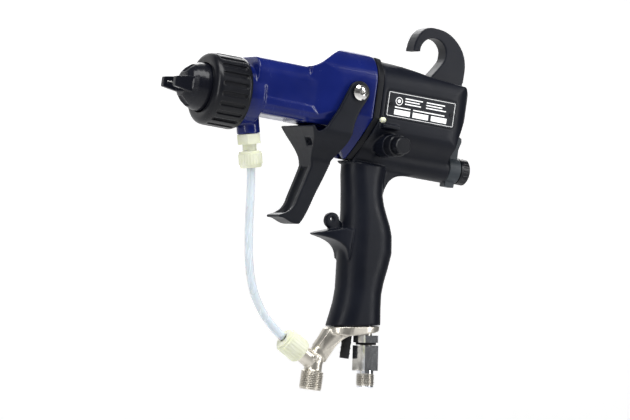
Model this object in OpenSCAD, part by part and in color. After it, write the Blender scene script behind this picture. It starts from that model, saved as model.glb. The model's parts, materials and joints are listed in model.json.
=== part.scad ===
// Hand-held air-assisted spray gun, in millimetres.
// The gun frame has the nozzle axis along X, nozzle towards -X, Z up, and x = 0 at the rear edge
// of the retaining ring. Everything is then moved so that the hook's hanging point is the origin.

/* [Air cap and retaining ring] */
// Outer radius of the retaining ring
ring_r = 26.8; // [26:0.1:27]
// Length of the retaining ring
ring_len = 30; // [28:1:31]
// Number of grip slots round the ring
ring_slots = 22; // [16:1:26]
// Radius of the air cap where it leaves the ring
cap_r = 17.8; // [17:0.1:18]
// Distance from the gun axis to each horn
horn_y = 10; // [9:0.5:11]

/* [Barrel] */
// Half width of the front of the barrel
front_half = 20; // [19:0.5:20.5]
// Half width of the rear of the barrel and of the handle's housing
rear_half = 22; // [21.5:0.1:22.2]
// Height of the flat top over the gun axis
front_top = 29; // [28:0.5:30]
// Height of the hump over the gun axis
hump_top = 46.8; // [46:0.2:47.2]
// Where the barrel meets its gasket
seam_x = 102; // [101:0.5:102.5]
// Thickness of the gasket
gasket_t = 5; // [4:0.5:6]

/* [Handle] */
// Half thickness of the grip
grip_half = 15.5; // [14:0.5:16.5]
// Height of the lower valve tube's axis
valve_z = -27; // [-28:0.5:-26]
// Outer radius of the lower valve tube
tube_wall_r = 10.6; // [10.2:0.1:11]
// Inner radius of the hook
hook_r = 11; // [10:0.5:12]
// Width of the hook
hook_w = 13; // [11:1:16]

/* [Trigger] */
// Gap between the barrel and each trigger arm
trigger_gap = 0.6; // [0.4:0.1:1]
// Thickness of a trigger arm
arm_t = 3.6; // [3:0.1:4]
// Width of the finger lever
lever_w = 21; // [18:1:24]

/* [Hose fittings] */
// Thread radius of the fluid inlet
fluid_thread_r = 8.57; // [8:0.01:9]
// Thread radius of the air inlet
air_thread_r = 6.85; // [6:0.01:7]
// Outer radius of the fluid tube
tube_r = 3.2; // [2.8:0.1:3.3]

/* [Hidden] */
$fn = 64;

hook_at = [152.5, 0, 56.5];
pivot = [86, 0, 15];
fan_at = [118.7, 0, -19.4];
port_at = [11.8, 0, -22];
port_lean = 13.9;
supply_z = 22;
supply_r = 11.5;
inlet_at = [132.5, 0, -158.8];
inlet_lean = 7.5;
nipple_x = 92.5;
nipple_end = -205.5;
valve_r = 7.4;
slip = 0.06;

deep_blue = [0.05, 0.07, 0.42];
black_plastic = [0.06, 0.065, 0.08];
dark_grey = [0.2, 0.21, 0.24];
nylon = [0.88, 0.89, 0.74];
clear_tube = [0.85, 0.9, 0.95];
nickel = [0.6, 0.57, 0.51];
bright_steel = [0.78, 0.79, 0.82];
brass_tone = [0.75, 0.6, 0.3];
rubber_black = [0.1, 0.1, 0.1];
white_plastic = [0.9, 0.9, 0.88];

// Points on an arc about c, from angle a to angle b
function arc(c, r, a, b, n = 10) =
    [for (i = [0:n]) let (t = a + (b - a) * i / n) [c[0] + r * cos(t), c[1] + r * sin(t)]];

// Points on a cubic curve from a to d
function curve(a, b, c, d, n = 8) =
    [for (i = [0:n]) let (t = i / n, s = 1 - t)
        s * s * s * a + 3 * s * s * t * b + 3 * s * t * t * c + t * t * t * d];

// Rounded rectangle of half width w between heights lo and hi
function rounded(w, lo, hi, r_lo, r_hi) = concat(
    arc([w - r_lo, lo + r_lo], r_lo, -90, 0), arc([w - r_hi, hi - r_hi], r_hi, 0, 90),
    arc([-w + r_hi, hi - r_hi], r_hi, 90, 180), arc([-w + r_lo, lo + r_lo], r_lo, 180, 270));

module gun_frame() translate(-hook_at) children();
// Solid of revolution about the gun axis; points are [radius, x]
module turned_x(points) rotate([0, 90, 0]) rotate_extrude($fn = 96) polygon(points);
// A cylinder along X between two places
module rod_x(x0, x1, r) translate([x0, 0, 0]) rotate([0, 90, 0]) cylinder(r = r, h = x1 - x0);
// A hollow cylinder along X
module sleeve_x(x0, x1, r_out, r_in) difference() {
    rod_x(x0, x1, r_out);
    rod_x(x0 - 1, x1 + 1, r_in);
}
// An outline in X and Z, given thickness w across the gun
module slab(points, w) rotate([90, 0, 0]) translate([0, 0, -w / 2]) linear_extrude(w) polygon(points);
// An outline in Y and Z, run along X
module run_x(points, x0, x1) translate([x0, 0, 0]) rotate([90, 0, 90]) linear_extrude(x1 - x0)
    polygon(points);
// A pair of things, one each side of the gun
module both_sides() {
    children();
    mirror([0, 1, 0]) children();
}
module o_ring_x(x, r, t) translate([x, 0, 0]) rotate([0, 90, 0]) rotate_extrude($fn = 64)
    translate([r, 0]) circle(r = t, $fn = 16);
// A closed-ended helical spring along X, swept as one tube
module spring_x(x0, x1, r, wire, turns) {
    sides = 8;
    per_turn = 14;
    count = turns * per_turn;
    points = [for (i = [0:count]) let (a = 360 * i / per_turn, x = x0 + wire + (x1 - x0 - 2 * wire) * i / count)
        for (k = [0:sides - 1]) let (q = 360 * k / sides)
            [x + wire * sin(q), (r + wire * cos(q)) * cos(a), (r + wire * cos(q)) * sin(a)]];
    walls = [for (i = [0:count - 1]) for (k = [0:sides - 1]) let (n = (k + 1) % sides)
        [i * sides + k, i * sides + n, (i + 1) * sides + n, (i + 1) * sides + k]];
    ends = [[for (k = [0:sides - 1]) sides - 1 - k], [for (k = [0:sides - 1]) count * sides + k]];
    polyhedron(points, concat(walls, ends), convexity = 6);
}
module hex(across, h) cylinder(r = across / sqrt(3), h = h, $fn = 6);
// Button-head hex-socket screw pointing down -Z from a head on z = 0
module button_screw(r_head, h_head, r_shank, length, socket) difference() {
    union() {
        intersection() {
            cylinder(r = r_head, h = h_head);
            translate([0, 0, h_head - 1.6 * r_head]) sphere(r = 1.6 * r_head);
        }
        translate([0, 0, -length]) cylinder(r = r_shank, h = length + 0.1);
    }
    translate([0, 0, h_head * 0.25]) hex(socket, h_head);
}

// ---- Spray head ----

module air_cap() color(black_plastic) gun_frame() difference() {
    union() {
        turned_x([[4.6, -23.4], [21.2, -23.4], [21.2, -26.6], [cap_r, -26.6], [cap_r, -32.6],
            [17.2, -35.4], [15.7, -39.2], [13.2, -42.8], [10.2, -45.6], [8.4, -46.3], [4.6, -46.3]]);
        both_sides() translate([0, horn_y, 0]) intersection() {
            slab([[-34, -7], [-45, -5.6], [-56.4, -3.8], [-57, -3.2], [-57, 3.2], [-56.4, 3.8],
                [-45, 5.6], [-34, 7]], 4.4);
            run_x(rounded(2.2, -7, 7, 1.5, 1.5), -58, -34);
        }
    }
    for (side = [-1, 1]) {
        translate([-45.4, 0, side * 15.4]) rotate([0, 90 - side * 40, 0])
            cylinder(r = 5.6, h = 9, center = true);
        for (x = [-54, -50]) translate([x, side * horn_y, 0]) rotate([side * 90, 0, 0])
            translate([0, 0, 0.6]) cylinder(r = 0.6, h = 2.4, $fn = 16);
        translate([-46, side * 6.4, 0]) rotate([0, 90, 0]) cylinder(r = 0.6, h = 6, $fn = 16);
        translate([-46, 0, side * 6.4]) rotate([0, 90, 0]) cylinder(r = 0.6, h = 6, $fn = 16);
    }
}

module retaining_ring() color(black_plastic) gun_frame() difference() {
    turned_x(concat([[22.3, -0.3], [22.3, -10], [21.7, -11], [21.7, -27], [cap_r + 0.5, -27],
        [cap_r + 0.5, -29.6], [cap_r + 1, -ring_len]],
        arc([ring_r - 5.4, 5.4 - ring_len], 5.4, -90, 0),
        [[ring_r, -3], [ring_r - 0.9, -0.8], [ring_r - 2, -0.3]]));
    for (i = [0:ring_slots - 1]) rotate([360 * i / ring_slots, 0, 0]) translate([0, 0, ring_r]) {
        for (x = [-23.4, -5.8]) translate([x, 0, -1.5]) cylinder(r = 1.65, h = 3, $fn = 24);
        translate([-23.4, -1.65, -1.5]) cube([17.6, 3.3, 3]);
    }
}

module fluid_nozzle() color(dark_grey) gun_frame() turned_x([[0.9, -46.6], [2.4, -46.6],
    [3, -44], [3.9, -42], [4.2, -38], [4.2, -22.6], [12, -22.6], [12, -16], [8.4, -16],
    [8.4, -4.4], [2.4, -4.4], [2.4, -40], [0.9, -43]]);

module nozzle_seal() color(rubber_black) gun_frame() o_ring_x(-14.6, 9.5, 1);

module electrode_wire() color(bright_steel) gun_frame() {
    rod_x(-57.6, -41.4, 0.35);
    translate([-57.6, 0, 0]) sphere(r = 0.35, $fn = 16);
}

module packing_rod() color(bright_steel) gun_frame() {
    turned_x([[0, -41.4], [0.8, -41.4], [1.6, -39.6], [1.6, 74], [3.4, 74], [3.4, 75.6], [2, 75.6],
        [2, 84], [0, 84]]);
}

module packing_housing() color(white_plastic) gun_frame()
    turned_x([[1.6 + slip, 40], [5.8, 40], [5.8, 58], [1.6 + slip, 58]]);

module packing_nut() color(brass_tone) gun_frame() difference() {
    rod_x(58.2, 62.2, 5.8);
    rod_x(58, 63, 2);
    rotate([0, 90, 0]) translate([0, 0, 61]) cylinder(r = 3.4, h = 2, $fn = 6);
}

module actuator_bar() color(bright_steel) gun_frame() difference() {
    union() {
        translate([78.8, -21, -1.6]) cube([3.6, 42, 3.2]);
        rod_x(78.8, 82.4, 4);
    }
    rod_x(78, 84, 2 + slip);
}

module needle_spring() color(bright_steel) gun_frame() spring_x(82.6, 101, 4, 0.5, 7);

// ---- Barrel ----

// Side outline of the barrel, without its neck and its fluid port
barrel_side = concat(
    [[5, -14], [5, front_top - 1], [6, front_top]],
    curve([46, front_top - 0.4], [54, front_top + 0.4], [63, 41], [75, hump_top - 0.8], 10),
    curve([78, hump_top], [86, hump_top + 0.6], [96, hump_top + 0.2], [seam_x, hump_top - 2.8], 5),
    [[seam_x, -2], [91.5, -33]],
    curve([90, -33.4], [84, -27], [77, -14], [68, -12.6], 8),
    [[40, -12.6]],
    curve([37, -12.6], [30, -13], [27, -17], [21, -20.5], 6));
// Section of the front: flat top, rounded shoulders, and flanks
front_section = concat(
    arc([front_half - 6, -6.6], 6, -90, 0), [[front_half, 16]],
    curve([front_half, 18], [front_half - 1, 25], [front_half - 6, front_top], [10, front_top], 6),
    curve([-10, front_top], [6 - front_half, front_top], [1 - front_half, 25], [-front_half, 18], 6),
    [[-front_half, 16]], arc([6 - front_half, -6.6], 6, 180, 270));
rear_section = concat(
    [[7, -33.4]], curve([9.6, -31], [13, -24], [rear_half - 5, -16], [rear_half, 0], 6),
    [[rear_half, 22]],
    curve([rear_half, 24], [rear_half, 34], [rear_half - 6, 40], [9.6, hump_top - 2.2], 8),
    curve([9, hump_top - 2], [4, hump_top + 1.2], [-4, hump_top + 1.2], [-9, hump_top - 2], 8),
    curve([-9.6, hump_top - 2.2], [6 - rear_half, 40], [-rear_half, 34], [-rear_half, 24], 8),
    [[-rear_half, 0]], curve([-rear_half, -1], [5 - rear_half, -16], [-13, -24], [-7, -33.4], 6));
// Plan of the shoulder that widens the barrel behind its front
shoulder_plan = concat(
    [[seam_x, -rear_half], [seam_x, rear_half], [76, rear_half]],
    curve([74, rear_half], [66, rear_half], [58, front_half], [48, front_half - 0.5], 8),
    curve([48, 0.5 - front_half], [58, -front_half], [66, -rear_half], [74, -rear_half], 8));

module port_axis(z) translate(port_at) rotate([0, 180 - port_lean, 0]) translate([0, 0, z]) children();

module barrel() color(deep_blue) gun_frame() difference() {
    union() {
        rod_x(-9.6, 12, 21.2);
        rod_x(0, 12, 22);
        intersection() {
            slab(barrel_side, 60);
            union() {
                run_x(front_section, 4, 70);
                intersection() {
                    run_x(rear_section, 46, 110);
                    linear_extrude(100, center = true) polygon(shoulder_plan);
                }
            }
        }
        both_sides() translate([0, -front_half - 0.7, 0]) rotate([90, 0, 0])
            translate([0, 0, -3]) linear_extrude(3)
            polygon([[4, 0], [52, -1], [57, -6], [4, -5.4]]);
        intersection() {
            port_axis(-14) cylinder(r = 8.6, h = 19.4);
            translate([-10, -20, -40]) cube([60, 40, 45]);
        }
    }
    // Fluid chamber, nozzle seat and packing bore
    rod_x(-10, 40, 4);
    rod_x(-10, -4.3, 8.5);
    rod_x(39.9, 66, 5.86);
    // Fluid port
    port_axis(-20) cylinder(r = 2, h = 26);
    port_axis(0.4) cylinder(r = 5.06, h = 6);
    // Linkage chamber, its side windows for the actuator bar, and the valve stem's way
    translate([66, -15, -6]) cube([24, 30, 13]);
    rod_x(89, 110, 5);
    translate([74.4, -30, -4.6]) cube([13, 60, 7.2]);
    translate([70, -3.2, -50]) cube([22.4, 6.4, 28]);
    translate([0, 0, valve_z]) rod_x(70, 110, 3.2);
    // Cavity of the power supply
    translate([0, 0, supply_z]) rod_x(68, 110, supply_r + 0.1);
    translate([0, 0, supply_z]) rod_x(56, 69, 3.2);
    // Trigger pivot
    translate(pivot) rotate([90, 0, 0]) cylinder(r = 3.06, h = 60, center = true);
    for (side = [-1, 1]) for (z = [-12, 30]) translate([90, side * 15, z]) rod_x(0, 20, 1.5);
}

module lip_section(grow) run_x([for (p = rear_section) [p[0] * (1 + grow / rear_half), p[1] + grow / 2]],
    80, 112);

module barrel_gasket() color(black_plastic) gun_frame() difference() {
    intersection() {
        slab([[seam_x + 0.05, 44.6], [seam_x + gasket_t - 0.05, 43.8], [seam_x + gasket_t - 0.05, -2],
            [96.4, -33.8], [91.4, -33.8], [91.6, -33.1], [seam_x + 0.05, -2]], 60);
        lip_section(0.5);
    }
    rod_x(80, 120, 5.2);
    translate([0, 0, valve_z]) rod_x(80, 120, 3.4);
    translate([0, 0, supply_z]) rod_x(80, 120, supply_r + 0.3);
    for (side = [-1, 1]) for (z = [-12, 30]) translate([80, side * 15, z]) rod_x(0, 40, 1.7);
}

module barrel_screws() color(bright_steel) gun_frame()
    for (side = [-1, 1]) for (z = [-12, 30]) translate([0, side * 15, z]) {
        rod_x(91, 118, 1.4);
    }

module power_supply() color(dark_grey) gun_frame() translate([0, 0, supply_z]) {
    rod_x(70, 104, supply_r);
    rod_x(68.1, 70, 5);
}

module supply_seal() color(rubber_black) gun_frame() translate([0, 0, supply_z])
    rotate([0, 90, 0]) translate([0, 0, 68.8]) difference() {
        cylinder(r = supply_r, h = 1.1);
        translate([0, 0, -1]) cylinder(r = 5.06, h = 4);
    }

module contact_spring() color(bright_steel) gun_frame() translate([0, 0, supply_z])
    spring_x(56.2, 68, 2.2, 0.35, 7);

module alternator() color(dark_grey) gun_frame() translate([0, 0, supply_z]) difference() {
    rod_x(107.2, 134, supply_r);
    rod_x(133, 135, 4);
    rod_x(120, 135, 1.6);
}

module turbine_rotor() color(brass_tone) gun_frame() translate([0, 0, supply_z]) {
    rod_x(121, 145.8, 1.54);
    difference() {
        rod_x(135, 141, 9.6);
        for (i = [0:11]) rotate([30 * i, 0, 0]) translate([134, -0.8, 6.6]) cube([8, 1.6, 5]);
    }
}

module turbine_bearing() color(bright_steel) gun_frame() translate([0, 0, supply_z])
    sleeve_x(142.2, 146, 5, 1.6);

// ---- Handle ----

housing_side = concat(
    [[seam_x + gasket_t, -2], [seam_x + gasket_t, 42.2]],
    curve([109, 42.6], [120, 42.2], [132, 40.6], [140, 39], 6),
    curve([142, 38.6], [152, 36.4], [160, 36], [176, 35], 6),
    curve([178, 34.8], [181.6, 32.4], [184.4, 27], [184.8, 20], 6),
    curve([184.6, 18], [184.2, 12], [181.6, 8], [179.6, 2], 5),
    curve([178.6, -1], [176.8, -6], [175.6, -10], [175.4, -16], 4),
    [[175.4, -40], [91, -40], [91, -34.2], [96.6, -34.2]]);
housing_section = concat(
    arc([0, valve_z], tube_wall_r - 0.5, -90, -20, 8),
    curve([11, -23], [15, -16], [rear_half, -14], [rear_half, -3], 8),
    [[rear_half, 22]],
    curve([rear_half, 24], [rear_half, 34], [rear_half - 7, 42], [6, 43], 8),
    curve([-6, 43], [7 - rear_half, 42], [-rear_half, 34], [-rear_half, 24], 8),
    [[-rear_half, -3]],
    curve([-rear_half, -5], [-rear_half, -14], [-15, -16], [-11, -23], 8),
    arc([0, valve_z], tube_wall_r - 0.5, 200, 270, 8));
housing_plan = concat(
    [[90, -rear_half], [90, rear_half], [164, rear_half]],
    curve([166, rear_half], [178, rear_half], [184, 15], [185.2, 6], 8),
    curve([185.2, -6], [184, -15], [178, -rear_half], [166, -rear_half], 8));
// Oval sections of the grip from the top down: height, front, rear, half width
grip_rows = [[-34.1, 93.4, 128, 12.4], [-44, 94.2, 127.4, 13.4], [-56, 96.4, 128.6, 14],
    [-63, 97.4, 131, 14.4], [-70, 98.5, 134.4, 14.8], [-77, 99.2, 138, 15.1], [-84, 99.7, 140.6, 15.3],
    [-97, 100.4, 142.4, 15.5], [-108, 101.2, 141, 15.5], [-119, 102.2, 139.2, 15.5],
    [-128, 103, 138.6, 15.5], [-138, 102.6, 139.6, 15.5], [-148, 101, 141, 15.5],
    [-164, 98, 143.4, 15.5]];
grip_sides = 36;
// One section: two half rounds of the row's half width, joined by flat sides
function grip_oval(row) = let (m = grip_sides / 2 - 1) [for (k = [0:grip_sides - 1])
    let (front = k > m, t = 90 - 180 * (front ? k - m - 1 : k) / m)
    [front ? row[1] + row[3] - row[3] * cos(t) : row[2] - row[3] + row[3] * cos(t),
        (front ? -1 : 1) * row[3] * sin(t), row[0]]];
module grip() {
    rows = len(grip_rows);
    points = [for (row = grip_rows) each grip_oval(row)];
    walls = [for (i = [0:rows - 2]) for (k = [0:grip_sides - 1])
        let (a = i * grip_sides + k, b = i * grip_sides + (k + 1) % grip_sides)
        each [[a, a + grip_sides, b + grip_sides], [a, b + grip_sides, b]]];
    ends = [[for (k = [0:grip_sides - 1]) k],
        [for (k = [0:grip_sides - 1]) rows * grip_sides - 1 - k]];
    difference() {
        polyhedron(points, concat(walls, ends), convexity = 6);
        slab([[80, -154.7], [97, -157.5], [140.4, -150.6], [160, -147.5], [160, -180], [80, -180]], 60);
    }
}

module handle() color(black_plastic) gun_frame() difference() {
    union() {
        intersection() {
            slab(housing_side, 60);
            run_x(housing_section, 90, 200);
            linear_extrude(200, center = true) polygon(housing_plan);
        }
        grip();
        slab(concat([[118, -30], [152, -30], [150, -37]],
            curve([141, -38.4], [133, -39.6], [129.4, -45], [127.8, -54], 6), [[118, -58]]), 11);
        // Tube for the lower valves
        translate([0, 0, valve_z]) rod_x(113, 178, tube_wall_r);
        // Finger rest with its eyelet
        intersection() {
            slab(concat(curve([75.4, -91.2], [80, -88.6], [88, -87.4], [97, -84]),
                [[104, -84], [106, -110]], curve([103.2, -106], [102, -96], [94, -92.8], [77, -92.2])), 60);
            linear_extrude(300, center = true) polygon(concat(
                curve([75, -3], [80, -8], [90, -11.6], [104, -12.6]),
                curve([104, 12.6], [90, 11.6], [80, 8], [75, 3])));
        }
        translate([90.6, 2.2, -79.4]) rotate([90, 0, 0]) cylinder(r = 6, h = 4.4);
        translate([90, -2.2, -88]) cube([8, 4.4, 9]);
        // Boss of the fan valve and the ledge over it
        translate([fan_at[0], -12, fan_at[2]]) rotate([90, 0, 0]) cylinder(r = 8.6, h = 15);
        translate([108.6, -27.4, -7.4]) cube([14.6, 8, 3.6]);
    }
    // Eyelet hole
    translate([90, 10, -78.4]) rotate([90, 0, 0]) cylinder(r = 1.3, h = 20);
    // Cavity of the alternator and turbine
    translate([0, 0, supply_z]) rod_x(100, 142, supply_r + 0.1);
    translate([0, 0, supply_z]) rod_x(141, 146.2, 5.04);
    translate([0, 0, supply_z]) rod_x(145, 160, 7);
    rod_x(96, 108.4, 5);
    // Valve bores
    translate([0, 0, valve_z]) rod_x(80, 104, 3.2);
    translate([0, 0, valve_z]) rod_x(103.1, 150, valve_r + 0.06);
    translate([0, 0, valve_z]) rod_x(149, 190, 6.06);
    // Air way up the grip and exhaust way down it
    translate(inlet_at) rotate([0, -inlet_lean, 0]) cylinder(r = 4.5, h = 118);
    translate([117, 0, -170]) cylinder(r = 2.4, h = 130);
    // Fan valve bore
    translate([fan_at[0], -8, fan_at[2]]) rotate([90, 0, 0]) cylinder(r = 6.04, h = 30);
    // Recess of the nameplate
    translate([110.6, -rear_half - 1, 1.2]) cube([59.8, 1.7, 21]);
    for (side = [-1, 1]) for (z = [-12, 30]) translate([0, side * 15, z]) rod_x(96, 118.4, 1.46);
    translate([171, 0, 20]) cylinder(r = 2.06, h = 30);
    for (side = [-1, 1]) translate([111, side * 9, -162]) cylinder(r = 1.5, h = 16);
    translate([109.8, -24, -1.4]) rotate([-90, 0, 0]) cylinder(r = 2.2, h = 6);
}

module hook() color(black_plastic) gun_frame() difference() {
    slab(concat(
        curve([142.8, 55.8], [143.2, 60], [146, 66.4], [152.5, 66.5], 8),
        arc([152.5, 56.5], hook_r - 1, 84, 2, 12),
        curve([163.4, 54], [160.6, 47], [155.6, 42.6], [152.6, 37.2], 5),
        [[157.6, 36.6], [180.4, 35.4]],
        curve([181.2, 40], [182, 50], [181.2, 60], [172, 67.6], 8),
        curve([170, 69.4], [165, 73.2], [160, 75.2], [152, 75.2], 6),
        curve([149, 75.2], [140.4, 74.6], [136, 66], [135.8, 55.4], 8)), hook_w);
    translate(hook_at) rotate([90, 0, 0]) cylinder(r = hook_r, h = 40, center = true, $fn = 96);
    translate([171, 0, 30]) cylinder(r = 2.3, h = 20);
    translate([171, 0, 41]) cylinder(r = 4, h = 60);
}

module hook_screw() color(bright_steel) gun_frame() translate([171, 0, 41.1]) difference() {
    union() {
        cylinder(r = 3.6, h = 4);
        translate([0, 0, -18]) cylinder(r = 2, h = 18.1);
    }
    translate([0, 0, 2]) hex(3, 4);
}

module nameplate() color(dark_grey) gun_frame() translate([0, -rear_half + 0.66, 0])
    rotate([90, 0, 0]) difference() {
        linear_extrude(0.9) polygon(concat(arc([167.4, 4.2], 2.6, -90, 0), arc([167.4, 19.2], 2.6, 0, 90),
            arc([113.6, 19.2], 2.6, 90, 180), arc([113.6, 4.2], 2.6, 180, 270)));
        for (x = [114.6, 166.4]) translate([x, 11.6, -1]) cylinder(r = 0.9, h = 3, $fn = 24);
    }

module nameplate_pins() color(black_plastic) gun_frame()
    for (x = [114.6, 166.4]) translate([x, -rear_half + 0.7, 11.6]) rotate([90, 0, 0]) {
        cylinder(r = 0.8, h = 1, $fn = 24);
        translate([0, 0, 0.94]) cylinder(r = 1.7, h = 0.6, $fn = 24);
    }

module indicator_lens() color(white_plastic) gun_frame() translate([109.8, -18.2, -1.4])
    rotate([90, 0, 0]) {
        cylinder(r = 2.16, h = 5);
        translate([0, 0, 5]) sphere(r = 2.16);
    }

// ---- Trigger ----

arm_in = rear_half + trigger_gap;
arm_out = arm_in + arm_t;
arm_side = concat(
    arc([pivot[0], pivot[2]], 8.6, 150, 0, 12),
    curve([94.6, 14], [92, 8], [87, 0], [85.6, -9], 5),
    curve([85, -16], [84.4, -22], [83, -28], [79.6, -34], 6),
    curve([78.4, -36.4], [77, -39], [75.6, -42.6], [73.6, -46], 4),
    [[63, -44], [61, -36]],
    curve([59.4, -31], [57.2, -25], [54.4, -20], [51.2, -15.2], 4),
    [[52.8, -14.2]],
    curve([55.2, -17], [59.4, -20.6], [63.4, -15], [66, -9.5], 6),
    curve([68.4, -5], [71.6, 0], [74, 8], [78.5, 19], 6));
// Front view of the trigger: two arms that draw in to the lever
trigger_front = concat(
    [[arm_out, 30], [arm_out, -14]],
    curve([arm_out, -16], [24, -24], [12, -32], [lever_w / 2, -39], 8),
    [[lever_w / 2, -50], [-lever_w / 2, -50]],
    curve([-lever_w / 2, -39], [-12, -32], [-24, -24], [-arm_out, -16], 8),
    [[-arm_out, -14], [-arm_out, 30]]);
trigger_inside = concat(
    [[arm_in, 31], [arm_in, -14]],
    curve([arm_in, -16], [20.4, -23], [9, -30], [7, -37], 8),
    curve([-7, -37], [-9, -30], [-20.4, -23], [-arm_in, -16], 8),
    [[-arm_in, -14], [-arm_in, 31]]);
lever_side = concat(
    curve([63.6, -37], [63.4, -42], [59, -56], [55.6, -68], 6),
    curve([55, -71], [53, -77.6], [48.4, -80], [42, -82.6], 6),
    [[42.2, -84.4]],
    curve([45.4, -84.4], [48.6, -84.6], [51.6, -87.4], [56.2, -87.4], 4),
    curve([59.6, -87], [63, -82], [65.2, -76], [68.2, -66], 6),
    curve([70.4, -60], [73.6, -52], [76, -45], [78.2, -38.6], 6),
    [[75, -35.6]]);

module trigger() color(black_plastic) gun_frame() {
    difference() {
        intersection() {
            slab(arm_side, 80);
            run_x(trigger_front, 40, 100);
        }
        // Hollow between the arms, behind the web
        intersection() {
            run_x(trigger_inside, 40, 100);
            slab([[100, 40], [59, 40], [59, -14], [60.8, -20], [64.8, -33], [66.6, -40], [100, -40]], 80);
        }
        translate(pivot) rotate([90, 0, 0]) cylinder(r = 5.06, h = 80, center = true);
        // Window recess in the web
        translate([53.4, -15.6, -26.4]) rotate([0, 26, 0]) cube([6, 9, 4.6]);
    }
    // Rib that pushes the air valve's stem, and lugs that push the actuator bar
    slab([[72, -41], [76.6, -41], [82.2, -30.4], [82.2, -25], [79, -25], [70, -38]], 5);
    both_sides() translate([75, -arm_in - 1, -1.5]) cube([3.1, 4.2, 3]);
    difference() {
        slab(lever_side, lever_w);
        // Finger hollow along the front of the lever
        translate([51.4, 0, -60]) rotate([0, 16, 0]) cylinder(r = 8.4, h = 42, center = true);
    }
}

module trigger_bushes() color(black_plastic) gun_frame() both_sides()
    translate([pivot[0], -arm_in + 0.5, pivot[2]]) rotate([90, 0, 0]) difference() {
        cylinder(r = 5, h = arm_t + 1.4);
        translate([0, 0, -1]) cylinder(r = 3.06, h = 10);
    }

module trigger_screws() color(bright_steel) gun_frame() both_sides()
    translate([pivot[0], -arm_in - arm_t - 0.95, pivot[2]]) rotate([90, 0, 0])
        button_screw(5.8, 2.9, 3, 12.6, 3.8);

// ---- Air valves ----

module valve_sleeve() color(brass_tone) gun_frame() translate([0, 0, valve_z])
    turned_x([[2.56, 103.2], [valve_r, 103.2], [valve_r, 124], [6, 124], [6, 107.2], [2.56, 107.2]]);

module valve_stem() color(bright_steel) gun_frame() translate([0, 0, valve_z])
    turned_x([[0, 82.9], [2.5, 82.9], [2.5, 109.2], [5.4, 109.2], [5.4, 111.4], [1.6, 111.4],
        [1.6, 120], [0, 120]]);

module valve_seal() color(rubber_black) gun_frame() translate([0, 0, valve_z])
    sleeve_x(107.3, 109, 5.9, 2.56);

module valve_spring() color(bright_steel) gun_frame() translate([0, 0, valve_z])
    spring_x(111.6, 131.6, 3.6, 0.5, 8);

module fan_valve_housing() color(black_plastic) gun_frame() translate([fan_at[0], -14, fan_at[2]])
    rotate([90, 0, 0]) difference() {
        union() {
            cylinder(r = 6, h = 14);
            translate([0, 0, 13.1]) cylinder(r = 8, h = 8.6);
            translate([0, 0, 21.7]) cylinder(r1 = 8, r2 = 7.4, h = 0.8);
        }
        translate([0, 0, 4]) cylinder(r = 3.06, h = 30);
    }

module fan_knob() color(black_plastic) gun_frame() translate([fan_at[0], -37, fan_at[2]])
    rotate([90, 0, 0]) difference() {
        union() {
            translate([0, 0, -14]) cylinder(r = 3, h = 14.1);
            cylinder(r = 6.3, h = 6.6);
            translate([0, 0, 6.6]) cylinder(r1 = 6.3, r2 = 5.6, h = 0.8);
        }
        for (i = [0:15]) rotate(22.5 * i) translate([6.7, 0, -1]) cylinder(r = 0.7, h = 6, $fn = 16);
    }

module fan_knob_seal() color(rubber_black) gun_frame() translate([fan_at[0], -36.55, fan_at[2]])
    rotate([90, 0, 0]) difference() {
        cylinder(r = 5.6, h = 0.4);
        translate([0, 0, -1]) cylinder(r = 3.06, h = 3);
    }

module es_lever() color(dark_grey) gun_frame() translate([0, 0, valve_z]) difference() {
    union() {
        rod_x(178.3, 188, 9.7);
        translate([0, 0, 1]) slab([[178.6, 4], [186, 4], [186, 15],
            [187.6, 20.4], [187.4, 23], [185.6, 24.4], [183.4, 24], [182.2, 22], [178.6, 12]], 10);
        translate([178.6, -4, -13]) cube([8, 8, 8]);
    }
    rod_x(170, 200, 6 + slip);
}

module es_spool() color(brass_tone) gun_frame() translate([0, 0, valve_z]) difference() {
    rod_x(152, 191, 6);
    rod_x(180, 192, 3.06);
}

module end_knob() color(black_plastic) gun_frame() translate([0, 0, valve_z]) {
    rod_x(182, 189.6, 3);
    difference() {
        union() {
            rod_x(188.6, 195, 9.8);
            rotate([0, 90, 0]) translate([0, 0, 195]) cylinder(r1 = 9.8, r2 = 8.8, h = 1);
        }
        rod_x(188, 191.4, 6.1);
        for (i = [0:19]) rotate([18 * i, 0, 0]) translate([0, 0, 10.2])
            rod_x(190.4, 197, 0.7, $fn = 16);
    }
    rod_x(188.5, 192, 3);
}

module end_knob_seal() color(rubber_black) gun_frame() translate([0, 0, valve_z])
    sleeve_x(188.05, 188.5, 8, 6.06);

// ---- Fluid line ----

module upper_fitting() color(nylon) gun_frame() difference() {
    union() {
        port_axis(0.5) cylinder(r = 5, h = 5.5);
        port_axis(5.6) hex(16.4, 7.4);
        port_axis(13) cylinder(r = 5.2, h = 5);
        port_axis(18) cylinder(r = 4.4, h = 4);
    }
    port_axis(0) cylinder(r = 1.8, h = 30);
}

module upper_nut() color(nylon) gun_frame() difference() {
    union() {
        port_axis(18.1) cylinder(r = 8.4, h = 12.4);
        port_axis(20) cylinder(r = 8.9, h = 8);
    }
    port_axis(17) cylinder(r = 4.46, h = 5.1);
    port_axis(22) cylinder(r = tube_r + 0.3, h = 20);
}

// Centre line of the tube, from inside the upper nut down and back into the lower nut
tube_route = concat(
    curve([17.6, -45.3], [23.6, -69.5], [22.4, -104], [31.6, -131.6], 22),
    [for (i = [1:14]) curve([31.6, -131.6], [36.5, -146.5], [47, -160], [64.4, -170.6], 14)[i]]);

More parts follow.
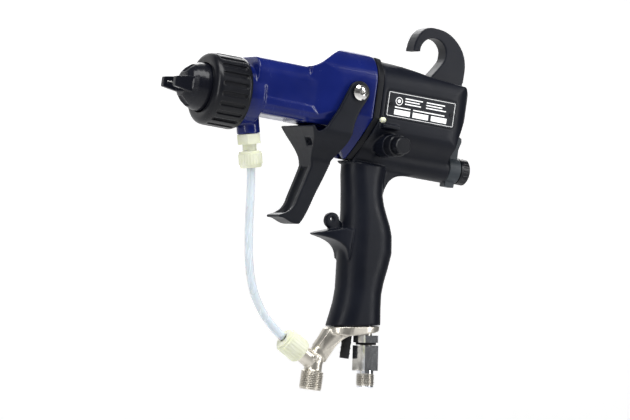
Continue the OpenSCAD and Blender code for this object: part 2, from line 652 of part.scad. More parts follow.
// One round tube swept along a route in the X-Z plane
module swept_tube(route, r, sides) {
    n = len(route);
    points = [for (i = [0:n - 1]) let (a = route[max(i - 1, 0)], b = route[min(i + 1, n - 1)],
            d = (b - a) / norm(b - a))
        for (k = [0:sides - 1]) let (q = 360 * k / sides)
            [route[i][0] - d[1] * r * cos(q), r * sin(q), route[i][1] + d[0] * r * cos(q)]];
    walls = [for (i = [0:n - 2]) for (k = [0:sides - 1]) let (m = (k + 1) % sides)
        [i * sides + k, i * sides + m, (i + 1) * sides + m, (i + 1) * sides + k]];
    ends = [[for (k = [0:sides - 1]) sides - 1 - k], [for (k = [0:sides - 1]) (n - 1) * sides + k]];
    polyhedron(points, concat(walls, ends), convexity = 8);
}

module fluid_tube() color(clear_tube) gun_frame() swept_tube(tube_route, tube_r, 12);

elbow_at = [64.4, 0, -170.6];
elbow_lean = 62;
module elbow_axis(z) translate(elbow_at) rotate([0, 180 - elbow_lean, 0]) translate([0, 0, z]) children();

module lower_nut() color(nylon) gun_frame() difference() {
    union() {
        elbow_axis(0.6) cylinder(r = 8, h = 3);
        elbow_axis(2.4) cylinder(r = 9.6, h = 15);
        elbow_axis(17.4) cylinder(r1 = 9.6, r2 = 8.6, h = 1.2);
    }
    elbow_axis(-1) cylinder(r = tube_r + 0.2, h = 8);
    elbow_axis(5) cylinder(r = 6.56, h = 16);
}

module lower_ferrule() color(bright_steel) gun_frame() difference() {
    elbow_axis(5.2) cylinder(r = 6.3, h = 4.4);
    elbow_axis(4) cylinder(r = tube_r + 0.2, h = 10);
}

// ---- Bracket and air inlet ----

plate_side = [[97.2, -158], [140.4, -151.1], [140.4, -154.6], [133, -157.2], [110, -163], [96.6, -162]];
arch_side = concat([[100, -158]], curve([134, -156], [120, -158.8], [110, -164], [105, -173], 8),
    [[99, -184], [92, -172]]);

module fluid_bracket() color(nickel) gun_frame() difference() {
    union() {
        intersection() {
            slab(plate_side, 40);
            linear_extrude(400, center = true) polygon(concat(
                arc([114, 0], grip_half, 90, 270, 18), arc([140.8 - grip_half, 0], grip_half, -90, 90, 18)));
        }
        slab(arch_side, 12);
        hull() {
            translate([105.4, 0, -162]) cylinder(r = 8.4, h = 3);
            translate([95, 0, -177]) cylinder(r = 5.8, h = 2);
        }
        hull() {
            translate([95, 0, -177]) cylinder(r = 5.8, h = 2);
            translate([nipple_x, 0, -190]) cylinder(r = 6, h = 3);
        }
        translate([nipple_x, 0, -191]) cylinder(r = 6.6, h = 6);
        translate([nipple_x, 0, nipple_end]) cylinder(r = fluid_thread_r, h = 13);
        translate([nipple_x, 0, -192.5]) cylinder(r1 = fluid_thread_r, r2 = 6.6, h = 1.5);
        elbow_axis(9.7) cylinder(r = 6.5, h = 19);
        translate([90.4, 0, -181.6]) rotate([90, 0, 0]) cylinder(r = 2.4, h = 7.4);
    }
    translate([nipple_x, 0, nipple_end - 1]) cylinder(r = 5.4, h = 20);
    elbow_axis(9) cylinder(r = 2.6, h = 17);
    translate(inlet_at) rotate([0, -inlet_lean, 0]) translate([0, 0, -8]) cylinder(r = 4.52, h = 20);
    translate([117, 0, -180]) cylinder(r = 3.56, h = 40);
    for (side = [-1, 1]) translate([111, side * 9, -180]) {
        cylinder(r = 1.5, h = 40);
        cylinder(r = 2.9, h = 21);
    }
}

module bracket_screws() color(bright_steel) gun_frame()
    for (side = [-1, 1]) translate([111, side * 9, -159.1]) mirror([0, 0, 1])
        button_screw(2.6, 1.6, 1.44, 12, 2);

module exhaust_tube() color(black_plastic) gun_frame() translate([117, 0, 0]) difference() {
    union() {
        translate([0, 0, -178.6]) cylinder(r = 3.5, h = 23.4);
        for (z = [-176, -172, -168]) translate([0, 0, z]) cylinder(r1 = 3.5, r2 = 3.9, h = 1.6);
    }
    translate([0, 0, -180]) cylinder(r = 2, h = 40);
}

module inlet_axis(z) translate(inlet_at) rotate([0, 180 - inlet_lean, 0]) translate([0, 0, z]) children();

module air_inlet_nut() color(bright_steel) gun_frame() difference() {
    inlet_axis(0.4) hex(18.4, 5.4);
    inlet_axis(-1) cylinder(r = 4.56, h = 10);
}

module air_inlet_stem() color(bright_steel) gun_frame() difference() {
    union() {
        inlet_axis(-12) cylinder(r = 4.5, h = 22);
        inlet_axis(10) cylinder(r = 5.4, h = 3);
    }
    inlet_axis(-13) cylinder(r = 2.6, h = 27);
}

module swivel_seal() color(rubber_black) gun_frame() difference() {
    inlet_axis(5.9) cylinder(r = 7.6, h = 1.6);
    inlet_axis(5) cylinder(r = 4.56, h = 4);
}

module air_swivel() color(bright_steel) gun_frame() difference() {
    union() {
        inlet_axis(7.9) hex(19, 18.6);
        inlet_axis(26) cylinder(r = 6.2, h = 3);
        inlet_axis(28.6) cylinder(r = air_thread_r, h = 9.4);
        inlet_axis(38) cylinder(r1 = air_thread_r, r2 = 5.6, h = 1.4);
    }
    inlet_axis(7) cylinder(r = 4.56, h = 2.9);
    inlet_axis(9.6) cylinder(r = 5.6, h = 6);
    inlet_axis(14) cylinder(r = 3.6, h = 30);
}

// ---- What is drawn ----

air_cap();
retaining_ring();
fluid_nozzle();
nozzle_seal();
electrode_wire();
packing_rod();
packing_housing();
packing_nut();
actuator_bar();
needle_spring();
barrel();
barrel_gasket();
barrel_screws();
power_supply();
supply_seal();
contact_spring();
alternator();
turbine_rotor();
turbine_bearing();
handle();
hook();
hook_screw();
nameplate();
nameplate_pins();
indicator_lens();
trigger();
trigger_bushes();
trigger_screws();
valve_sleeve();
valve_stem();
valve_seal();
valve_spring();
fan_valve_housing();
fan_knob();
fan_knob_seal();
es_lever();
es_spool();
end_knob();
end_knob_seal();
upper_fitting();
upper_nut();
fluid_tube();
lower_ferrule();
lower_nut();
fluid_bracket();
bracket_screws();
exhaust_tube();
air_inlet_nut();
air_inlet_stem();
swivel_seal();
air_swivel();
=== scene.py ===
"""Looks of a hand-held air-assisted spray gun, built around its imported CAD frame."""

import json
import math

import bmesh
import bpy
from mathutils import Matrix, Vector

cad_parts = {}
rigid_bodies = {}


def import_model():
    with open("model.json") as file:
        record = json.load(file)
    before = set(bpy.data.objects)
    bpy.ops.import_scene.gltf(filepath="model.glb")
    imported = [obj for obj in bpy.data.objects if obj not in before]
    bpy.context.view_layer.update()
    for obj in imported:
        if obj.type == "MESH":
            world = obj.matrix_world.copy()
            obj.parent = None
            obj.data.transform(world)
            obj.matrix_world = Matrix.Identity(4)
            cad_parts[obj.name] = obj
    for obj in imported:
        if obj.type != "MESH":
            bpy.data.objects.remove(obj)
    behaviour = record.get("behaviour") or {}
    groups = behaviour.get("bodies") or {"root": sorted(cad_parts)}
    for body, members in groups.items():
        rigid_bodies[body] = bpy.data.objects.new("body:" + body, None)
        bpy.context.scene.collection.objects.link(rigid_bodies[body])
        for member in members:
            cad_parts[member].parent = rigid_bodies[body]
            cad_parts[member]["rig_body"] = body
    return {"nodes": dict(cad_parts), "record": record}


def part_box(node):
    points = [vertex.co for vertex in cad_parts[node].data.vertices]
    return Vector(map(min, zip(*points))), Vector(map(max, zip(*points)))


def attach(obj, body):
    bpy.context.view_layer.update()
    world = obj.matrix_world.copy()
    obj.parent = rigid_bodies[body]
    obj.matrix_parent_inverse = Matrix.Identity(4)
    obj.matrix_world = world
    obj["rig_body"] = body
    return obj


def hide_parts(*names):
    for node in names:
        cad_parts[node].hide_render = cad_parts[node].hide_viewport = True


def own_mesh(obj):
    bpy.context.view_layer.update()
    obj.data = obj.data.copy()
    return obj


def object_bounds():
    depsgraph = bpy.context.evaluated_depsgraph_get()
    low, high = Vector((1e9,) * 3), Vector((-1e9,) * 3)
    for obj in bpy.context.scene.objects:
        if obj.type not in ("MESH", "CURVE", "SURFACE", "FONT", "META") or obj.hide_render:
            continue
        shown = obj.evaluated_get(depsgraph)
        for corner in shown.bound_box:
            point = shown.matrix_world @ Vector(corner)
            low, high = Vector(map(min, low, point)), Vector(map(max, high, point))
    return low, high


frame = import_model()
cad_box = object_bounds()

MM = 0.001
record = frame["record"]
MOUNTS = {mount["name"]: mount for mount in record["mounts"]}

# The gun's own frame has its origin on the nozzle axis, at the rear edge of the retaining ring
ring_low, ring_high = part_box("retaining_ring")
ORIGIN = Vector((ring_high.x + 0.3 * MM, 0, (ring_low.z + ring_high.z) / 2))


def gun(x, y, z):
    """A point of the gun's own frame, in millimetres, as a point of the row frame."""
    return ORIGIN + Vector((x, y, z)) * MM


# ---- Camera, light and stage ----

VIEW_AZIMUTH = math.radians(-27)
VIEW_ELEVATION = math.radians(-4)
VIEW_ROLL = math.radians(8)
VIEW_DISTANCE = 3.5
VIEW_TARGET = gun(76, 0, -74)
LENS = 271.0
SENSOR_WIDTH = 36


def make_camera():
    """A distant, slightly rolled camera that looks at the gun's left side from the front."""
    a, e, roll = VIEW_AZIMUTH, VIEW_ELEVATION, VIEW_ROLL
    back = Vector((math.sin(a) * math.cos(e), -math.cos(a) * math.cos(e), math.sin(e)))
    right = Vector((math.cos(a), math.sin(a), 0))
    up = back.cross(right)
    right_rolled = math.cos(roll) * right + math.sin(roll) * up
    up_rolled = math.cos(roll) * up - math.sin(roll) * right
    turn = Matrix((right_rolled, up_rolled, back)).transposed()
    data = bpy.data.cameras.new("camera")
    data.lens = LENS
    data.sensor_width = SENSOR_WIDTH
    camera = bpy.data.objects.new("camera", data)
    camera.matrix_world = Matrix.Translation(VIEW_TARGET + VIEW_DISTANCE * back) @ turn.to_4x4()
    bpy.context.scene.collection.objects.link(camera)
    bpy.context.scene.camera = camera


def area_light(name, place, size, power):
    """A soft rectangular light, aimed at the gun; size is in metres and power in watts."""
    data = bpy.data.lights.new(name, "AREA")
    data.shape = "RECTANGLE"
    data.size, data.size_y = size
    data.energy = power
    light = bpy.data.objects.new(name, data)
    light.location = place
    direction = VIEW_TARGET - place
    light.rotation_euler = direction.to_track_quat("-Z", "Y").to_euler()
    bpy.context.scene.collection.objects.link(light)


def make_stage():
    """A plain pale floor that bends up into a wall behind the gun."""
    # The gun hangs by its hook, so the floor lies well below it and below the low camera
    floor_z = cad_box[0][2] - 0.7
    mesh = bpy.data.meshes.new("floor")
    half, front_y, back_y, height, bend = 5.0, -6.0, 3.0, 4.0, 1.2
    profile = [(front_y, 0.0), (back_y - bend, 0.0)]
    steps = 12
    for i in range(1, steps + 1):
        angle = math.radians(90) * i / steps
        profile.append((back_y - bend + bend * math.sin(angle), bend * (1 - math.cos(angle))))
    profile.append((back_y, height))
    verts = [(x, y, floor_z + z) for y, z in profile for x in (-half, half)]
    faces = [(2 * i, 2 * i + 1, 2 * i + 3, 2 * i + 2) for i in range(len(profile) - 1)]
    mesh.from_pydata(verts, [], faces)
    for polygon in mesh.polygons:
        polygon.use_smooth = True
    floor = bpy.data.objects.new("floor", mesh)
    bpy.context.scene.collection.objects.link(floor)
    mesh.materials.append(stage_material())


def stage_material():
    material = bpy.data.materials.new("stage_white")
    material.use_nodes = True
    shader = material.node_tree.nodes["Principled BSDF"]
    shader.inputs["Base Color"].default_value = (0.93, 0.93, 0.93, 1)
    shader.inputs["Roughness"].default_value = 0.9
    shader.inputs["Specular IOR Level"].default_value = 0.1
    shader.inputs["Emission Color"].default_value = (1, 1, 1, 1)
    shader.inputs["Emission Strength"].default_value = 0.62
    return material


def make_lights():
    world = bpy.data.worlds.new("studio")
    world.use_nodes = True
    world.node_tree.nodes["Background"].inputs["Color"].default_value = (1, 1, 1, 1)
    world.node_tree.nodes["Background"].inputs["Strength"].default_value = 0.1
    bpy.context.scene.world = world
    area_light("key", gun(-150, -300, 620), (0.7, 0.35), 7.5)
    area_light("front", gun(-620, -380, 120), (0.12, 0.7), 3.6)
    area_light("side", gun(620, -560, 200), (0.16, 0.8), 5)
    area_light("rear", gun(400, 620, 460), (0.8, 0.5), 5)
    bpy.context.scene.view_settings.view_transform = "Standard"


# ---- Materials ----


class Surface:
    """A node material with a Principled shader, driven by the surface's own coordinates."""

    def __init__(self, name, roughness, metallic=0.0, **sockets):
        self.material = bpy.data.materials.new(name)
        self.material.use_nodes = True
        self.tree = self.material.node_tree
        self.shader = self.tree.nodes["Principled BSDF"]
        self.shader.inputs["Roughness"].default_value = roughness
        self.shader.inputs["Metallic"].default_value = metallic
        if not metallic:
            self.shader.inputs["Specular IOR Level"].default_value = 0.15
        for socket, value in sockets.items():
            self.shader.inputs[socket.replace("_", " ")].default_value = value
        self.place = self.tree.nodes.new("ShaderNodeTexCoord").outputs["Object"]

    def node(self, kind, **settings):
        node = self.tree.nodes.new(kind)
        for name, value in settings.items():
            setattr(node, name, value)
        return node

    def link(self, output, target):
        self.tree.links.new(output, target)

    def stretched(self, scale):
        mapping = self.node("ShaderNodeMapping")
        mapping.inputs["Scale"].default_value = scale
        self.link(self.place, mapping.inputs["Vector"])
        return mapping.outputs["Vector"]

    def noise(self, per_metre, detail=3.0, stretch=None, roughness=0.55):
        noise = self.node("ShaderNodeTexNoise")
        noise.inputs["Scale"].default_value = per_metre
        noise.inputs["Detail"].default_value = detail
        noise.inputs["Roughness"].default_value = roughness
        self.link(self.stretched(stretch) if stretch else self.place, noise.inputs["Vector"])
        return noise.outputs["Fac"]

    def span(self, value, low, high, from_low=0.35, from_high=0.65):
        node = self.node("ShaderNodeMapRange")
        for socket, number in zip(
            ("From Min", "From Max", "To Min", "To Max"), (from_low, from_high, low, high)
        ):
            node.inputs[socket].default_value = number
        self.link(value, node.inputs["Value"])
        return node.outputs["Result"]

    def mix(self, factor, first, second):
        node = self.node("ShaderNodeMix", data_type="RGBA")
        self.link(factor, node.inputs[0])
        for socket, colour in ((node.inputs[6], first), (node.inputs[7], second)):
            if isinstance(colour, tuple):
                socket.default_value = (*colour, 1)
            else:
                self.link(colour, socket)
        return node.outputs[2]

    def edges(self, low=0.52, high=0.6):
        """How sharply the surface turns outward, from 0 to 1."""
        return self.span(self.node("ShaderNodeNewGeometry").outputs["Pointiness"], 0, 1, low, high)

    def product(self, first, second):
        node = self.node("ShaderNodeMath", operation="MULTIPLY")
        self.link(first, node.inputs[0])
        self.link(second, node.inputs[1])
        return node.outputs[0]

    def bump(self, *layers):
        """Layers of (height, strength, depth in millimetres), one on another."""
        previous = None
        for height, strength, depth in layers:
            node = self.node("ShaderNodeBump")
            node.inputs["Strength"].default_value = strength
            node.inputs["Distance"].default_value = depth * MM
            self.link(height, node.inputs["Height"])
            if previous:
                self.link(previous, node.inputs["Normal"])
            previous = node.outputs["Normal"]
        self.link(previous, self.shader.inputs["Normal"])

    def colour(self, output):
        self.link(output, self.shader.inputs["Base Color"])

    def roughness(self, output):
        self.link(output, self.shader.inputs["Roughness"])


def shade(colour, factor):
    return tuple(min(1.0, channel * factor) for channel in colour)


def plastic(name, colour, roughness, grain=2600, grain_depth=0.02, edge_highlight_amount=0.25, coat=0.0):
    """Moulded plastic: slight flow marks, fine grain, handling smudges, and edges painted paler as a
    highlight.
    """
    surface = Surface(name, roughness, Coat_Weight=coat, Coat_Roughness=0.12)
    flow = surface.noise(28, 2)
    body = surface.mix(surface.span(flow, 0, 1), shade(colour, 0.88), shade(colour, 1.12))
    # Painted highlight: convex edges lightened to 2.2 times the colour, broken up by noise
    painted_edge_highlight = surface.product(surface.edges(), surface.span(surface.noise(160, 4), 0, edge_highlight_amount))
    surface.colour(surface.mix(painted_edge_highlight, body, shade(colour, 2.2)))
    smudge = surface.noise(55, 5, roughness=0.7)
    surface.roughness(surface.span(smudge, roughness - 0.05, roughness + 0.08))
    surface.bump(
        (surface.noise(60, 2), 0.25, 0.06),
        (surface.noise(grain, 2), 0.5, grain_depth),
    )
    return surface.material


def metal(name, colour, roughness, grain, depth):
    """Machined, cast or plated metal: fine grain or tool lines, and faint staining."""
    surface = Surface(name, roughness, metallic=1.0)
    cloud = surface.span(surface.noise(90, 4), 0, 1)
    surface.colour(surface.mix(cloud, shade(colour, 0.8), colour))
    fine = surface.noise(grain, 3)
    surface.roughness(surface.span(fine, roughness * 0.8, roughness * 1.3 + 0.02))
    surface.bump((fine, 0.5, depth))
    return surface.material


def rubber(name, colour):
    surface = Surface(name, 0.62)
    surface.colour(
        surface.mix(surface.span(surface.noise(120, 4), 0, 1), colour, shade(colour, 1.5))
    )
    surface.bump((surface.noise(2400, 3), 0.6, 0.03))
    return surface.material


def nylon_material():
    surface = Surface(
        "nylon", 0.34, Subsurface_Weight=0.6, Subsurface_Scale=0.004, Transmission_Weight=0.12
    )
    surface.shader.inputs["Subsurface Radius"].default_value = (1.0, 1.0, 0.7)
    cloud = surface.span(surface.noise(70, 3), 0, 1)
    surface.colour(surface.mix(cloud, (0.66, 0.68, 0.52), (0.74, 0.75, 0.62)))
    surface.roughness(surface.span(surface.noise(300, 3), 0.28, 0.44))
    surface.bump((surface.noise(900, 2), 0.3, 0.03))
    return surface.material


def tube_material():
    surface = Surface("milky_tube", 0.3, Transmission_Weight=0.25, Subsurface_Weight=0.2, IOR=1.36)
    cloud = surface.span(surface.noise(60, 2), 0, 1)
    surface.colour(surface.mix(cloud, (0.74, 0.77, 0.81), (0.8, 0.82, 0.85)))
    surface.roughness(surface.span(surface.noise(200, 2, (1, 1, 0.1)), 0.2, 0.32))
    surface.bump((surface.noise(500, 2), 0.1, 0.01))
    return surface.material


def white_print():
    surface = Surface("white_print", 0.45)
    surface.colour(
        surface.mix(
            surface.span(surface.noise(900, 3), 0, 1), (0.86, 0.87, 0.88), (0.95, 0.95, 0.95)
        )
    )
    surface.bump((surface.noise(3000, 2), 0.3, 0.005))
    return surface.material


def make_materials():
    black = (0.004, 0.0045, 0.0065)
    return {
        "blue_plastic": plastic("blue_plastic", (0.004, 0.009, 0.085), 0.2, 3400, 0.008, 0.12, 0.22),
        "cap_plastic": plastic("cap_plastic", (0.004, 0.0045, 0.0075), 0.26, 3000, 0.01, 0.2, 0.1),
        "ring_plastic": plastic("ring_plastic", black, 0.3, 3000, 0.012, 0.3, 0.1),
        "nozzle_plastic": plastic("nozzle_plastic", (0.03, 0.03, 0.036), 0.4),
        "lip_plastic": plastic("lip_plastic", black, 0.42),
        "handle_plastic": plastic("handle_plastic", (0.004, 0.005, 0.009), 0.4, 2600, 0.022),
        "hook_plastic": plastic("hook_plastic", (0.004, 0.005, 0.009), 0.38, 2600, 0.02),
        "trigger_plastic": plastic("trigger_plastic", (0.004, 0.005, 0.0085), 0.4, 2600, 0.02),
        "lever_plastic": plastic("lever_plastic", (0.03, 0.036, 0.042), 0.36),
        "lens_plastic": nylon_material(),
        "nameplate_foil": plastic("nameplate_foil", (0.008, 0.009, 0.012), 0.42, 4200, 0.01),
        "seal_rubber": rubber("seal_rubber", (0.01, 0.01, 0.011)),
        "nylon": nylon_material(),
        "clear_tube": tube_material(),
        "white_ptfe": plastic("white_ptfe", (0.85, 0.85, 0.83), 0.4),
        "satin_nickel": metal("satin_nickel", (0.56, 0.53, 0.47), 0.34, 2200, 0.02),
        "polished_steel": metal("polished_steel", (0.75, 0.74, 0.72), 0.16, 1500, 0.004),
        "chrome_hex": metal("chrome_hex", (0.8, 0.82, 0.86), 0.1, 900, 0.006),
        "thread_steel": metal("thread_steel", (0.42, 0.4, 0.36), 0.28, 1600, 0.01),
        "brass": metal("brass", (0.75, 0.55, 0.26), 0.25, 1600, 0.01),
        "white_print": white_print(),
    }


# ---- Shaping ----


def new_object(name, mesh):
    piece = bpy.data.objects.new(name, mesh)
    bpy.context.scene.collection.objects.link(piece)
    return piece


def applied(piece):
    """Turns a piece's modifiers into its mesh."""
    graph = bpy.context.evaluated_depsgraph_get()
    mesh = bpy.data.meshes.new_from_object(piece.evaluated_get(graph))
    piece.modifiers.clear()
    piece.data = mesh
    return piece


def soften(node, voxel, rounds):
    """A copy of a CAD node with its edges rounded, as a moulding or casting has them."""
    piece = new_object(f"{node}_moulded", frame["nodes"][node].data.copy())
    remesh = piece.modifiers.new("remesh", "REMESH")
    remesh.mode = "VOXEL"
    remesh.voxel_size = voxel * MM
    remesh.adaptivity = 0
    smooth = piece.modifiers.new("smooth", "SMOOTH")
    smooth.iterations = rounds
    applied(piece)
    for polygon in piece.data.polygons:
        polygon.use_smooth = True
    return piece


def settle(piece, node, materials):
    """Lets a piece stand for a CAD node, on its body and in its material."""
    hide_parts(node)
    finish_piece(piece, frame["nodes"][node]["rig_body"], SLOTS[node], materials)


def finish_piece(piece, body, slot, materials, material=None):
    """Puts a piece on its body and in its slot; material is for one that isn't the slot's own."""
    piece.data.materials.clear()
    piece.data.materials.append(materials[material or slot])
    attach(piece, body)


SLOTS = {part["node"]: part["material_slot"] for part in record["subparts"]}

# Voxel size in millimetres and rounds of smoothing for each moulded or cast node
SOFTENED = {
    "barrel": (0.6, 8),
    "handle": (0.7, 10),
    "trigger": (0.55, 8),
    "hook": (0.5, 8),
    "barrel_gasket": (0.5, 4),
    "retaining_ring": (0.4, 3),
    "air_cap": (0.35, 3),
    "fluid_bracket": (0.5, 8),
    "es_lever": (0.35, 4),
}


def make_moulded(materials):
    """Rounded copies of the moulded and cast nodes; the bracket also gets its threads."""
    for node, (voxel, rounds) in SOFTENED.items():
        piece = soften(node, voxel, rounds)
        if node == "fluid_bracket":
            make_threads(materials, piece)
        else:
            settle(piece, node, materials)


def cubic(a, b, c, d, steps):
    """Points on a cubic curve from a to d, in the gun frame's X and Z."""
    points = []
    for i in range(steps + 1):
        t = i / steps
        weights = ((1 - t) ** 3, 3 * t * (1 - t) ** 2, 3 * t * t * (1 - t), t**3)
        x, z = (sum(w * p[k] for w, p in zip(weights, (a, b, c, d))) for k in (0, 1))
        points.append((x, z))
    return points


def grid_mesh(name, rows, closed=False):
    """A mesh of rings of points; closed joins the last ring to the first."""
    sides = len(rows[0])
    verts = [point for row in rows for point in row]
    faces = []
    for i in range(len(rows) if closed else len(rows) - 1):
        for k in range(sides):
            a, b = i * sides, (i + 1) % len(rows) * sides
            faces.append((a + k, a + (k + 1) % sides, b + (k + 1) % sides, b + k))
    mesh = bpy.data.meshes.new(name)
    mesh.from_pydata(verts, [], faces)
    shaped = bmesh.new()
    shaped.from_mesh(mesh)
    bmesh.ops.recalc_face_normals(shaped, faces=shaped.faces)
    shaped.to_mesh(mesh)
    shaped.free()
    for polygon in mesh.polygons:
        polygon.use_smooth = True
    return mesh


def axis_frame(direction):
    return direction.normalized().to_track_quat("Z", "X").to_matrix()


def turned(name, start, direction, profile, ribs=0, depth=0.0, sides=144):
    """A turned ring; profile rows are (distance, radius, ribbed), out along its wall and back."""
    turn = axis_frame(direction)
    rows = []
    for distance, radius, ribbed in profile:
        row = []
        for k in range(sides):
            angle = 2 * math.pi * k / sides
            dip = depth * max(0.0, math.cos(ribs * angle)) ** 2 if ribbed else 0
            r = radius - dip
            row.append(
                start + turn @ Vector((r * math.cos(angle), r * math.sin(angle), distance)) * MM
            )
        rows.append(row)
    mesh = grid_mesh(name, rows, closed=True)
    mesh.set_sharp_from_angle(angle=math.radians(50))
    return new_object(name, mesh)


def thread(name, start, direction, radius, depth, length, pitch, sides=56):
    """A screw thread as one skin round a plain core, running out at both ends."""
    turn = axis_frame(direction)
    rows = []
    steps = int(length / pitch * 10)
    for i in range(steps + 1):
        distance = length * i / steps
        row = []
        for k in range(sides):
            angle = 2 * math.pi * k / sides
            wave = abs(2 * ((distance / pitch - k / sides) % 1) - 1)
            fade = min(1, distance / pitch, (length - distance) / pitch)
            r = radius - depth * (1 - fade * min(1, 1.35 * wave))
            row.append(
                start + turn @ Vector((r * math.cos(angle), r * math.sin(angle), distance)) * MM
            )
        rows.append(row)
    return new_object(name, grid_mesh(name, rows))


def thin(piece, start, direction, low, high, from_radius, to_radius):
    """Draws a piece's plain nipple in, to make room for its thread."""
    axis = direction.normalized()
    for vertex in piece.data.vertices:
        away = vertex.co - start
        along = away.dot(axis)
        radial = away - along * axis
        if low * MM <= along <= high * MM and radial.length > from_radius * MM:
            vertex.co = start + along * axis + radial.normalized() * to_radius * MM


def block(name, low, high):
    """A thin box between two corners of the gun frame."""
    mesh = bpy.data.meshes.new(name)
    x0, y0, z0 = gun(*low)
    x1, y1, z1 = gun(*high)
    verts = [(x, y, z) for x in (x0, x1) for y in (y0, y1) for z in (z0, z1)]
    faces = [(0, 1, 3, 2), (4, 6, 7, 5), (0, 4, 5, 1), (2, 3, 7, 6), (0, 2, 6, 4), (1, 5, 7, 3)]
    mesh.from_pydata(verts, [], faces)
    return new_object(name, mesh)


# ---- Fluid line and threads ----



def leaning_back(degrees):
    """A direction that points down and leans to the rear."""
    return Vector((math.sin(math.radians(degrees)), 0, -math.cos(math.radians(degrees))))


# Axes of the fluid port under the barrel and of the bracket's branch, as the CAD has them
PORT = leaning_back(13.9)
PORT_START = gun(11.8, 0, -22)
ELBOW = leaning_back(62)
ELBOW_START = gun(64.4, 0, -170.6)
# The tube's centre line in X and Z: an upper and a lower curve that meet
TUBE_UPPER = ((17.6, -45.3), (23.6, -69.5), (22.4, -104), (31.6, -131.6))
TUBE_LOWER = ((31.6, -131.6), (36.5, -146.5), (47, -160), (64.4, -170.6))
TUBE_OUTER, TUBE_INNER = 3.2, 2.1
PIPE_PITCH = 1.34
# The fluid inlet's nipple points down; its core is drawn in to make room for the thread
NIPPLE_TOP = gun(92.5, 0, -192.6)
NIPPLE_RADIUS = 8.57
AIR_RADIUS = 6.85


def make_tube(materials):
    """The hollow fluid tube, swept along the route that the CAD tube follows."""
    route = cubic(*TUBE_UPPER, 40) + cubic(*TUBE_LOWER, 28)[1:]
    sides, rows_out, rows_in = 40, [], []
    for i, (x, z) in enumerate(route):
        before, after = route[max(i - 1, 0)], route[min(i + 1, len(route) - 1)]
        dx, dz = after[0] - before[0], after[1] - before[1]
        size = math.hypot(dx, dz)
        for rows, r in ((rows_out, TUBE_OUTER), (rows_in, TUBE_INNER)):
            ring = []
            for k in range(sides):
                q = 2 * math.pi * k / sides
                c, s = r * math.cos(q), r * math.sin(q)
                ring.append(gun(x - dz / size * c, s, z + dx / size * c))
            rows.append(ring)
    tube = new_object("tube_wall", grid_mesh("tube_wall", rows_out + rows_in[::-1], closed=True))
    settle(tube, "fluid_tube", materials)


def make_hose_nuts(materials):
    """The ribbed nylon nuts at the tube's two ends."""
    nut = turned(
        "upper_nut_body", PORT_START, PORT,
        [(18.1, 4.46, 0), (18.1, 7.9, 0), (18.5, 8.4, 0), (19.9, 8.4, 0), (20.1, 8.9, 1),
         (27.8, 8.9, 1), (28.2, 8.3, 0), (30.1, 7.9, 0), (30.5, 7.2, 0), (30.5, 3.5, 0),
         (23.2, 3.3, 0), (23.2, 4.46, 0)],
        ribs=24, depth=0.35,
    )
    settle(nut, "upper_nut", materials)
    nut = turned(
        "lower_nut_body", ELBOW_START, ELBOW,
        [(0.6, 3.4, 0), (0.6, 7.2, 0), (1.1, 8.0, 0), (2.4, 8.1, 0), (2.8, 9.4, 0),
         (3.2, 9.6, 1), (16.9, 9.6, 1), (17.6, 9.3, 0), (18.6, 8.6, 0), (18.6, 6.56, 0),
         (5, 6.56, 0), (5, 3.4, 0)],
        ribs=24, depth=0.45,
    )
    settle(nut, "lower_nut", materials)


def make_threads(materials, bracket):
    """The threads of both inlets, over cores that are drawn in under them."""
    down = Vector((0, 0, -1))
    thin(bracket, NIPPLE_TOP, down, 0.2, 13.2, 7.4, 7.6)
    piece = thread("fluid_thread", NIPPLE_TOP, down, NIPPLE_RADIUS, 0.85, 12.8, PIPE_PITCH)
    finish_piece(piece, "gun_body", "satin_nickel", materials)
    settle(bracket, "fluid_bracket", materials)

    inlet = MOUNTS["air_inlet"]
    out = Vector(inlet["axis"])
    # The CAD's plain thread begins this far before the mount's own place
    start = Vector(inlet["pos_m"]) - 4.4 * MM * out
    swivel = new_object("swivel_body", frame["nodes"]["air_swivel"].data.copy())
    thin(swivel, start, out, -0.1, 9.5, 6.5, 6.1)
    swivel.data.shade_smooth()
    swivel.data.set_sharp_from_angle(angle=math.radians(30))
    settle(swivel, "air_swivel", materials)
    piece = thread("air_thread", start, out, AIR_RADIUS, 0.75, 9.3, PIPE_PITCH)
    finish_piece(piece, "swivel", "thread_steel", materials)


# ---- Springs ----


def make_springs(materials):
    """Springs as smoothed copies of the CAD coils, each set on its body with a mesh of its own."""
    # The travels are in millimetres, and just past what each joint allows
    for node, joint, fixed_end, travel in (
        ("needle_spring", "needle_slide", gun(101, 0, 0), 2.3),
        ("valve_spring", "valve_slide", gun(131.6, 0, -27), 6.35),
    ):
        coil = new_object(f"{node}_coil", frame["nodes"][node].data.copy())
        coil.data.shade_smooth()
        settle(coil, node, materials)
        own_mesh(coil)


# ---- Nameplate ----


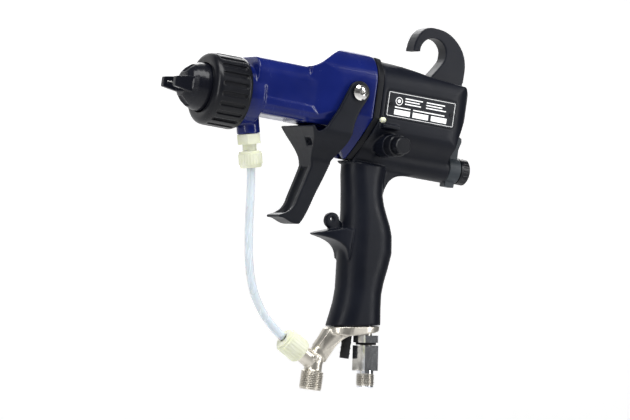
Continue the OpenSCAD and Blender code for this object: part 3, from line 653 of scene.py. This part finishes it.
# Where the plate's face lies across the gun, and how thick its print is
PLATE_FACE = -22.24
PRINT_DEPTH = 0.07


def make_nameplate_print(materials):
    """Generic print: a rule, blank fields, bars in place of text, and a ringed dot."""
    top = PLATE_FACE - PRINT_DEPTH
    marks = []
    # A thin rule round the plate
    marks += [((112.4, 2.8), (168.6, 3.1)), ((112.4, 20.3), (168.6, 20.6))]
    marks += [((112.4, 2.8), (112.7, 20.6)), ((168.3, 2.8), (168.6, 20.6))]
    # Three blank fields along the bottom
    marks += [((118.4, 4.4), (131.6, 8.2)), ((134, 4.4), (147.2, 8.2)), ((149.6, 4.4), (162.8, 8.2))]
    # Bars in place of the lines of text
    for x0, x1, z in (
        (126.4, 141, 16.9), (126.4, 138.6, 14.9), (126.4, 140, 12.9), (118.4, 131.6, 9.5),
        (144.4, 160, 16.9), (144.4, 158, 14.9), (144.4, 161.4, 12.9), (134, 160.6, 9.5),
    ):
        marks.append(((x0, z), (x1, z + 0.8)))
    for i, ((x0, z0), (x1, z1)) in enumerate(marks):
        piece = block(f"plate_mark_{i}", (x0, top, z0), (x1, PLATE_FACE, z1))
        finish_piece(piece, "gun_body", "nameplate_foil", materials, "white_print")
    # A plain ringed dot as the generic symbol
    for i, (outer, inner) in enumerate(((3, 2.5), (1.3, 0.2))):
        ring = turned(
            f"plate_symbol_{i}", gun(121.4, PLATE_FACE, 14.6), Vector((0, -1, 0)),
            [(0, inner, 0), (PRINT_DEPTH, inner, 0), (PRINT_DEPTH, outer, 0), (0, outer, 0)],
            sides=48,
        )
        finish_piece(ring, "gun_body", "nameplate_foil", materials, "white_print")


def dress_cad_nodes(materials):
    """Gives the CAD nodes that stay their material and smooth shading with crisp edges."""
    for name, node in frame["nodes"].items():
        node.data.materials.clear()
        node.data.materials.append(materials[SLOTS[name]])
        node.data.shade_smooth()
        node.data.set_sharp_from_angle(angle=math.radians(32))


materials = make_materials()
make_camera()
make_lights()
make_stage()
dress_cad_nodes(materials)
make_moulded(materials)
make_tube(materials)
make_hose_nuts(materials)
make_nameplate_print(materials)
make_springs(materials)
